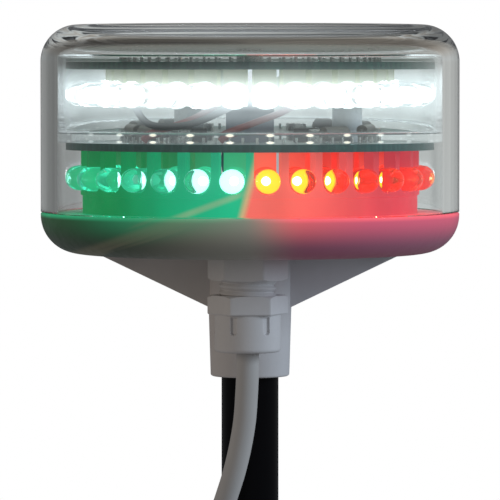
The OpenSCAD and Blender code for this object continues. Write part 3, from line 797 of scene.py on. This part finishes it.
def basePlastic():
    # white plastic with the spill of the LEDs above it: strongest under the rim, green to starboard and red to port
    mat, shader = look("basePlastic")
    spot, x, y, z = place(mat)
    grain = noise(mat, spot, 520.0, 3.0)
    angle = sectorAngle(mat, x, y)
    turn = absolute(mat, angle)
    behind = ease(mat, turn, 108.0, 118.0)
    wide = times(mat, x, 1000.0)
    high = heightAbove(mat, z)
    # the green light ends along a slanting line under the foremost LED, with a few faint painted streaks of warm
    # light beside it
    slant = slantLine(mat, wide, high)
    lightStreaks = noise(mat, joinedXYZ(mat, times(mat, slant, 0.06), 0.0, times(mat, wide, 0.006)), 7.0, 2.0)
    greenTop = ease(mat, plus(mat, slant, times(mat, lightStreaks, 2.0)), -8.0, 4.0)
    greenPart = times(mat, greenTop, ease(mat, wide, -5.0, 3.0, 1.0, 0.0))
    redPart = ease(mat, wide, -2.0, 10.5)
    up = ease(mat, high, 2.0, 9.6)
    rim = ease(mat, high, 7.5, 8.5)
    greenSide = blendColours(mat, ease(mat, wide, -40.0, -22.0), (0.0, 0.04, 0.01, 1), (0.004, 0.16, 0.07, 1))
    green = blendColours(mat, rim, blendColours(mat, up, (0.0, 0.004, 0.002, 1), greenSide), (0.008, 0.29, 0.125, 1))
    middle = blendColours(mat, up, (0.012, 0.012, 0.010, 1), (0.085, 0.095, 0.065, 1))
    redSide = blendColours(mat, ease(mat, wide, 8.0, 26.0), (0.56, 0.06, 0.045, 1), (0.47, 0.03, 0.055, 1))
    red = blendColours(mat, rim, blendColours(mat, up, (0.03, 0.001, 0.006, 1), redSide), (0.80, 0.07, 0.075, 1))
    colour = blendColours(mat, redPart, blendColours(mat, greenPart, middle, green), red)
    # painted warm light in streaks along the slanting edge
    warmLit = times(mat, ease(mat, lightStreaks, 0.52, 0.62), ease(mat, absolute(mat, slant), 0.0, 5.0, 0.2, 0.0))
    warmLit = calc(mat, "MAXIMUM", warmLit, ease(mat, absolute(mat, slant), 0.1, 1.6, 0.18, 0.0))
    warmLit = times(mat, warmLit, ease(mat, wide, -4.0, 2.0, 1.0, 0.0))
    colour = blendColours(mat, warmLit, colour, (0.15, 0.115, 0.075, 1))
    astern = blendColours(mat, up, (0.02, 0.02, 0.02, 1), (0.2, 0.22, 0.24, 1))
    colour = blendColours(mat, behind, colour, astern)
    # the painted light is weaker round the sides
    sides = ease(mat, turn, 70.0, 92.0, 1.0, 0.45)
    # the base colour holds painted shade and light: dark grey-green on the green side, pink on the red side, pale
    # grey round the sides and astern
    tint = blendColours(mat, ease(mat, wide, -30.0, 3.0), (0.05, 0.07, 0.045, 1), (0.36, 0.35, 0.31, 1))
    tint = blendColours(mat, ease(mat, wide, -1.0, 12.0), tint, (0.34, 0.15, 0.22, 1))
    tint = blendColours(mat, ease(mat, turn, 84.0, 120.0), tint, (0.60, 0.60, 0.60, 1))
    feed(mat, tint, shader, "Base Color")
    grained(mat, shader, grain, (0.34, 0.46), 0.08)
    shader.inputs["Specular IOR Level"].default_value = 0.35
    paintLight(mat, shader, colour, sides)
    return mat


def sideLitNylon(name, coolLit, warmLit, rough=(0.34, 0.5), grainSize=600.0, depth=0.1):
    # white nylon with painted light, warm on the green side and cool on the other, and a fine moulded grain
    mat, shader = look(name)
    spot, x = place(mat)[:2]
    grain = noise(mat, spot, grainSize, 3.0)
    cloud = noise(mat, spot, 70.0, 2.0)
    side = ease(mat, plus(mat, x, times(mat, cloud, 0.006)), -0.012, 0.018)
    base = blendColours(mat, side, warmLit, coolLit)
    feed(mat, blendColours(mat, times(mat, grain, 0.25), base, (0.5, 0.5, 0.5, 1)), shader, "Base Color")
    grained(mat, shader, grain, rough, depth)
    return mat


def addBase():
    s = baseLook
    profile = [
        (0, 0.04), (20, 0.04), (s["radius"] - s["round"], 0.04),
        arc(s["radius"] - s["round"], s["round"], s["round"], -88, 0, 22),
        (s["radius"], s["rim"] - 0.3), (s["radius"] - 0.3, s["rim"] - 0.02), (s["grooveOut"], s["rim"] - 0.02),
        (s["grooveOut"], s["grooveFoot"]), (s["grooveIn"], s["grooveFoot"]), (s["grooveIn"], s["rim"] - 0.02),
        (s["well"] + 0.2, s["rim"] - 0.02), (s["well"], s["rim"] - 0.2), (s["well"], s["floor"]), (0, s["floor"]),
    ]
    base = newObject("baseBowl", turned("baseBowl", profile, 256), [basePlastic()])
    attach(base, "head")
    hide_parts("base")


def prism(outline, low, high, axis):
    # an outline carried straight from low to high along one axis, both ends closed with a fan
    p = np.asarray(outline, float) * mm
    levels = np.array([low, low, high, high]) * mm
    middle = p.mean(0)
    flat = np.stack([np.repeat(middle[None], len(p), 0), p, p, np.repeat(middle[None], len(p), 0)])
    points = np.insert(flat, axis, np.repeat(levels[:, None], len(p), 1), axis=2)
    points[..., 2] += headZ
    return points.reshape(-1, 3), gridQuads(4, len(p), False, True)


def addBracket():
    s = bracketLook
    px, py, pz = s["plate"]
    plate = prism([(-px / 2, -py / 2), (px / 2, -py / 2), (px / 2, py / 2), (-px / 2, py / 2)], 0.0, pz, 2)
    # the gusset's slanted edges, in x and z, run straight to the collar's shoulder
    gusset = prism([
        (-s["half"], 0.5), (-s["half"], -0.05), (-s["collarTop"], -s["drop"]),
        (-s["collarTop"] + 0.9, -s["drop"] - 0.4), (s["collarTop"] - 0.9, -s["drop"] - 0.4),
        (s["collarTop"], -s["drop"]), (s["half"], -0.05), (s["half"], 0.5),
    ], -s["thick"] / 2, s["thick"] / 2, 1)
    mat = sideLitNylon("bracketNylon", (0.66, 0.665, 0.69, 1), (0.64, 0.59, 0.56, 1))
    pieces = []
    for name, (points, quads) in (("bracketPlate", plate), ("bracketGusset", gusset)):
        piece = newObject(name, quadMesh(name, points, quads, 30.0), [mat])
        soften = piece.modifiers.new("edges", "BEVEL")
        soften.width = 0.0004
        soften.segments = 3
        soften.angle_limit = math.radians(25)
        soften.limit_method = "ANGLE"
        pieces.append(piece)
    collar = [
        (0, s["boreTop"]), (s["bore"], s["boreTop"]),
        (s["bore"], -s["collarDrop"] + 0.3), (s["bore"] + 0.3, -s["collarDrop"]),
        (s["collarEnd"] - 0.5, -s["collarDrop"]), arc(s["collarEnd"] - 0.5, -s["collarDrop"] + 0.5, 0.5, -90, 0, 7),
        (s["collarTop"], -s["drop"]), (s["collarTop"] + 0.02, 0.5), (0, 0.5),
    ]
    piece = newObject("bracketCollar", turned("bracketCollar", collar, 128), [mat])
    pieces.append(piece)
    for piece in pieces:
        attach(piece, "head")
    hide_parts("bracket")


addBase()
addBracket()
print("base and bracket")


# gland
glandLook = {
    "centre": (-0.45, -17.5), "flats": 14.6, "bodyHex": 4.95, "bodyTurn": -6.8, "segments": 240,
    "thread": 5.94, "threadRoot": 5.39, "pitch": 1.5, "spigot": 15.4, "bore": 3.4, "seat": 4.6, "seatZ": 10.5,
    "innerTop": 9.5, "nutZ": 8.06, "nutHex": 3.92, "nutEnd": 19.8, "nutRadius": 6.875, "nutTurn": 4.2,
    "nutBore": 3.2, "shoulder": 16.6,
    "grooveWide": 1.4, "grooveDeep": 0.5, "grooveFrom": 12.3, "grooveTo": 16.1,
}


def hexRadius(a, flats, turn):
    # six flats at equal angles, one corner at the angle turn, their corners slightly rounded:
    # the flats' distances blended by a high power
    k = np.radians(turn + 30 + 60 * np.arange(6))
    c = np.clip(np.cos(a[..., None] - k), 0, None)
    return flats / 2 / (c ** 90).sum(-1) ** (1 / 90)


def ringed(name, rows):
    # rows of (radius at every angle, height) about the gland's axis, as one closed skin
    segments = glandLook["segments"]
    a = np.linspace(0, 2 * np.pi, segments, endpoint=False)
    cx, cy = (v * mm for v in glandLook["centre"])
    r = np.stack([np.broadcast_to(np.asarray(q[0], float), a.shape) for q in rows]) * mm
    z = np.array([q[1] for q in rows])[:, None] * mm + headZ
    points = np.stack([cx + r * np.cos(a), cy + r * np.sin(a), z + 0 * a], -1).reshape(-1, 3)
    return quadMesh(name, points, gridQuads(len(rows), segments, False, True), 32.0)


def addGland():
    s = glandLook
    a = np.linspace(0, 2 * np.pi, s["segments"], endpoint=False)
    mat = sideLitNylon("glandNylon", (0.72, 0.73, 0.76, 1), (0.68, 0.64, 0.61, 1), (0.28, 0.42), 700.0)

    six = hexRadius(a, s["flats"], s["bodyTurn"])
    body = [
        (s["bore"], s["innerTop"]), (5.7, s["innerTop"]), (5.95, s["innerTop"] - 0.3), (5.95, 0.0), (six, 0.0),
        (six, -s["bodyHex"] + 0.7),
    ]
    for t in np.linspace(0.6, 0, 7):
        body.append((np.minimum(six, s["flats"] / 2 + 0.3 + 2 * t), -s["bodyHex"] + t))
    # the thread: at each height the radius rises to a ridge once per pitch, and the ridge climbs as it goes round
    for z in np.arange(-s["bodyHex"], -s["spigot"], -0.12):
        phase = np.mod(z / s["pitch"] + a / (2 * np.pi), 1.0)
        ridge = np.clip(1.35 - np.abs(phase - 0.5) * 3.0, 0, 1)
        body.append((s["threadRoot"] + (s["thread"] - s["threadRoot"]) * ridge, z))
    body += [
        (s["threadRoot"], -s["spigot"]), (s["seat"], -s["spigot"]), (s["seat"], -s["seatZ"]),
        (s["bore"], -s["seatZ"]), (s["bore"], s["innerTop"]),
    ]
    obj = newObject("glandThreadedBody", ringed("glandThreadedBody", body), [mat])
    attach(obj, "head")
    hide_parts("gland_body")

    six = hexRadius(a, s["flats"], s["nutTurn"])
    top = -s["nutZ"]
    nut = [(6.0, top)]
    for t in np.linspace(0, 0.7, 8):
        nut.append((np.minimum(six, s["flats"] / 2 + 0.3 + 2 * t), top - t))
    step = top - s["nutHex"]
    nut += [(six, step + 0.25), (six - 0.2, step)]
    turn = np.mod(a - np.radians(s["nutTurn"]) + np.pi / 6, np.pi / 3) - np.pi / 6   # angle from the nearest groove
    aside = np.abs(turn) * s["nutRadius"]
    for z in np.concatenate([[step], np.linspace(step - 0.1, -s["grooveTo"] - 0.5, 34)]):
        up = np.clip((-s["grooveFrom"] - z) / 0.25, 0, 1)
        low = -s["grooveTo"] + s["grooveWide"] / 2
        away = np.where(z < low, np.hypot(aside, low - z), aside)
        deep = np.clip((s["grooveWide"] / 2 - away) / 0.14, 0, 1) * s["grooveDeep"] * up
        nut.append((s["nutRadius"] - deep, z))
    nut += [(s["nutRadius"], -s["nutEnd"] + 0.9)]
    for t in np.linspace(0, 90, 6):
        c = np.radians(t)
        nut.append((s["nutRadius"] - 0.8 + 0.8 * np.cos(c), -s["nutEnd"] + 0.8 - 0.8 * np.sin(c)))
    nut += [
        (s["nutBore"] + 0.3, -s["nutEnd"]), (s["nutBore"], -s["nutEnd"] + 0.3), (s["nutBore"], -s["shoulder"]),
        (6.0, -s["shoulder"]), (6.0, top),
    ]
    obj = newObject("glandNutCap", ringed("glandNutCap", nut), [mat])
    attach(obj, "nut")
    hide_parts("gland_nut")


addGland()
print("gland")


# tube
tubeLook = {"radius": 6.0, "bore": 4.5, "top": -1.5, "foot": -150.0, "grooveZ": -124.5}


def addTube():
    s = tubeLook
    mat, shader = look("tubeBlack")
    spot = place(mat)[0]
    drawn = noise(mat, spot, 420.0, 3.0, stretch=(1.0, 1.0, 0.04))
    fine = noise(mat, spot, 1400.0, 2.0)
    feed(mat, blendColours(mat, drawn, (0.0012, 0.0012, 0.0016, 1), (0.004, 0.004, 0.005, 1)), shader, "Base Color")
    feed(mat, ease(mat, drawn, 0.3, 0.7, 0.34, 0.5), shader, "Roughness")
    feed(mat, bump(mat, fine, 0.08, 0.00006), shader, "Normal")
    shader.inputs["Specular IOR Level"].default_value = 0.12
    profile = [
        (s["bore"], s["foot"]), (s["radius"] - 0.3, s["foot"]), (s["radius"], s["foot"] + 0.3),
        (s["radius"], s["grooveZ"] - 0.5), (s["radius"] - 0.3, s["grooveZ"] - 0.35),
        (s["radius"] - 0.3, s["grooveZ"] + 0.35), (s["radius"], s["grooveZ"] + 0.5),
        (s["radius"], s["top"]), (s["bore"], s["top"]),
    ]
    tube = newObject("mastTube", turned("mastTube", profile, 96, closed=True), [mat])
    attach(tube, "head")
    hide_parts("mounting_tube")


addTube()
print("tube")


# wires between the boards
wireLook = {
    "redA": [(-21, -22, 23.8), (-20, -22, 24.8), (-15, -21, 26.4), (-10, -19, 28.6), (-4, -16, 33), (1, -13, 38)],
    "redB": [(-6, -22, 23.8), (-4.5, -22, 24.9), (1, -21, 27), (7, -20, 29.5), (12, -18, 33), (15, -15, 38)],
    "black": [
        (-23.6, -9, 38), (-23.8, -11, 32.5), (-22.6, -15.5, 29), (-19.5, -22, 26.6),
        (-13, -24, 26.6), (-7, -23, 28.8), (-1, -18.5, 32.2), (6, -13, 38),
    ],
    "radius": 0.75,
}


def wireRubber(name, light, dark):
    mat, shader = look(name)
    spot, _, _, z = place(mat)
    fine = noise(mat, spot, 1100.0, 2.0)
    feed(mat, blendColours(mat, fine, dark, light), shader, "Base Color")
    feed(mat, ease(mat, fine, 0.3, 0.7, 0.35, 0.5), shader, "Roughness")
    # lit white beside the anchor LEDs
    paintLight(mat, shader, (0.86, 0.95, 1.0, 1), ease(mat, z, headZ + 0.0275, headZ + 0.0315, 0.0, 0.8))
    return mat


def addWires():
    s = wireLook
    red = wireRubber("wireRedRubber", (0.24, 0.018, 0.016, 1), (0.17, 0.014, 0.012, 1))
    black = wireRubber("wireBlackRubber", (0.018, 0.018, 0.02, 1), (0.01, 0.01, 0.01, 1))
    for name, keys, mat, node, slotName in (
        ("linkWiresRed", ("redA", "redB"), red, "link_wires_red", "wire_red"),
        ("linkWireBlack", ("black",), black, "link_wire_black", "wire_black"),
    ):
        parts = []
        for key in keys:
            line = curved(s[key], 10) * mm
            line[:, 2] += headZ
            parts.append(capped(swept(line, s["radius"] * mm, 14, (0.0, 1.0, 0.0))))
        points, quads = joined(parts)
        obj = newObject(name, quadMesh(name, points, quads), [mat])
        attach(obj, "head")
        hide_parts(node)


addWires()
print("wires")


# finishes of the pieces that keep their own shape
def speckled(name, a, b, rough, scale=600.0, metal=0.0):
    mat, shader = look(name)
    spot = place(mat)[0]
    fine = noise(mat, spot, scale, 3.0)
    feed(mat, blendColours(mat, fine, a, b), shader, "Base Color")
    grained(mat, shader, fine, rough, 0.08)
    shader.inputs["Metallic"].default_value = metal
    return mat


def litSpacer(name, sectors):
    # cream nylon soaked in the light beside it: white in the anchor ring,
    # and green, red or white in the sector ring
    mat, shader = look(name)
    spot, x, y, z = place(mat)
    fine = noise(mat, spot, 600.0, 3.0)
    angle = sectorAngle(mat, x, y)
    creamAndPaintedLight = blendColours(mat, fine, (0.52, 0.46, 0.35, 1), (0.66, 0.59, 0.47, 1))
    if sectors:
        ahead = ease(mat, absolute(mat, angle), 4.0, 30.0, 1.0, 0.0)
        green = blendColours(mat, ahead, (0.0, 0.16, 0.045, 1), (0.01, 0.34, 0.15, 1))
        red = blendColours(mat, ahead, (0.62, 0.02, 0.012, 1), (0.86, 0.10, 0.06, 1))
        lit = blendColours(mat, ease(mat, angle, -0.8, 2.2), green, red)
        lit = blendColours(mat, ease(mat, absolute(mat, angle), 109.0, 116.0), lit, (0.3, 0.32, 0.34, 1))
        # three quarters of the base colour is painted LED light
        creamAndPaintedLight = blendColours(mat, 0.75, creamAndPaintedLight, lit)
        power = 0.9
    else:
        rise = ease(mat, z, headZ + 0.0335, headZ + 0.0385)
        lit = blendColours(mat, rise, (0.88, 1.0, 0.93, 1), (0.26, 0.40, 0.27, 1))
        power = ease(mat, z, headZ + 0.0335, headZ + 0.0385, 0.75, 0.2)
    feed(mat, creamAndPaintedLight, shader, "Base Color")
    feed(mat, ease(mat, fine, 0.3, 0.7, 0.4, 0.6), shader, "Roughness")
    paintLight(mat, shader, lit, power)
    return mat


def boardMask():
    # green solder mask over woven glass: dark lands and paler tracks, running along x and y
    mat, shader = look("boardMask")
    spot, x, y, z = place(mat)
    threads = 4200.0
    weave = times(mat, calc(mat, "SINE", times(mat, x, threads)), calc(mat, "SINE", times(mat, y, threads)))
    tracks = add(mat, "ShaderNodeTexBrick", {"Vector": spot, "Scale": 130.0, "Mortar Size": 0.03}).outputs["Fac"]
    base = blendColours(mat, tracks, (0.022, 0.085, 0.068, 1), (0.03, 0.12, 0.09, 1))
    lower = blendColours(mat, tracks, (0.05, 0.13, 0.125, 1), (0.06, 0.16, 0.15, 1))
    base = blendColours(mat, ease(mat, z, headZ + 0.026, headZ + 0.034), lower, base)
    base = blendColours(mat, ease(mat, weave, -1.0, 1.0, 0.0, 0.25), base, (0.03, 0.10, 0.07, 1))
    feed(mat, base, shader, "Base Color")
    shader.inputs["Roughness"].default_value = 0.32
    feed(mat, bump(mat, tracks, 0.2, 0.00005), shader, "Normal")
    return mat


def paint(mat, *names):
    for name in names:
        for slot in nodes[name].material_slots:
            slot.material = mat


# for each finish: the nodes, its name, its two colours, its roughness, and where given its grain and metal
nodeFinishes = (
    ("anchor_led_leads sector_led_leads", "leadTin",
     (0.55, 0.55, 0.56, 1), (0.8, 0.8, 0.78, 1), (0.22, 0.42), 1600.0, 1.0),
    ("centre_screw board_screws carrier_screws bracket_screws tube_screw", "screwSteel",
     (0.5, 0.5, 0.5, 1), (0.68, 0.68, 0.67, 1), (0.2, 0.36), 1200.0, 1.0),
    ("cover_seal gland_gasket gland_seal", "sealRubber", (0.012, 0.012, 0.012, 1), (0.03, 0.03, 0.03, 1), (0.6, 0.8)),
    ("driver_chips", "chipEpoxy", (0.012, 0.012, 0.013, 1), (0.03, 0.03, 0.03, 1), (0.45, 0.65), 1500.0),
    ("resistors", "resistorBody", (0.10, 0.095, 0.085, 1), (0.17, 0.155, 0.135, 1), (0.4, 0.55), 900.0),
    ("capacitors", "capacitorSleeve", (0.34, 0.36, 0.38, 1), (0.46, 0.48, 0.50, 1), (0.25, 0.4), 900.0),
    ("inductor", "ferriteBlack", (0.03, 0.03, 0.033, 1), (0.06, 0.06, 0.062, 1), (0.5, 0.7), 1300.0),
    ("cable_ties", "tieNylon", (0.012, 0.012, 0.013, 1), (0.025, 0.025, 0.027, 1), (0.35, 0.5), 900.0),
    ("gland_locknut gland_thrust_ring", "nutNylon", (0.60, 0.60, 0.60, 1), (0.70, 0.70, 0.70, 1), (0.35, 0.5)),
)


def finishNodes():
    paint(boardMask(), "anchor_board", "sector_board")
    paint(litSpacer("anchorSpacer", False), "anchor_led_spacers")
    paint(litSpacer("sectorSpacer", True), "sector_led_spacers")
    for names, *finish in nodeFinishes:
        paint(speckled(*finish), *names.split())
    # the pillar is washed out by the anchor LEDs at their own height
    pillar = speckled("pillarBlue", (0.06, 0.08, 0.12, 1), (0.10, 0.13, 0.19, 1), (0.35, 0.5))
    z = place(pillar)[3]
    shader = pillar.node_tree.nodes["Principled BSDF"]
    power = ease(pillar, z, headZ + 0.0285, headZ + 0.0315, 0.02, 0.9)
    paintLight(pillar, shader, (0.86, 0.95, 1.0, 1), power)
    paint(pillar, "board_pillar")
    paint(coreMaterial("supplyCore", (0.03, 0.12, 0.42, 1)), "supply_cores")
    paint(cableSheath(), "cable_entry")


finishNodes()
print("finishes")
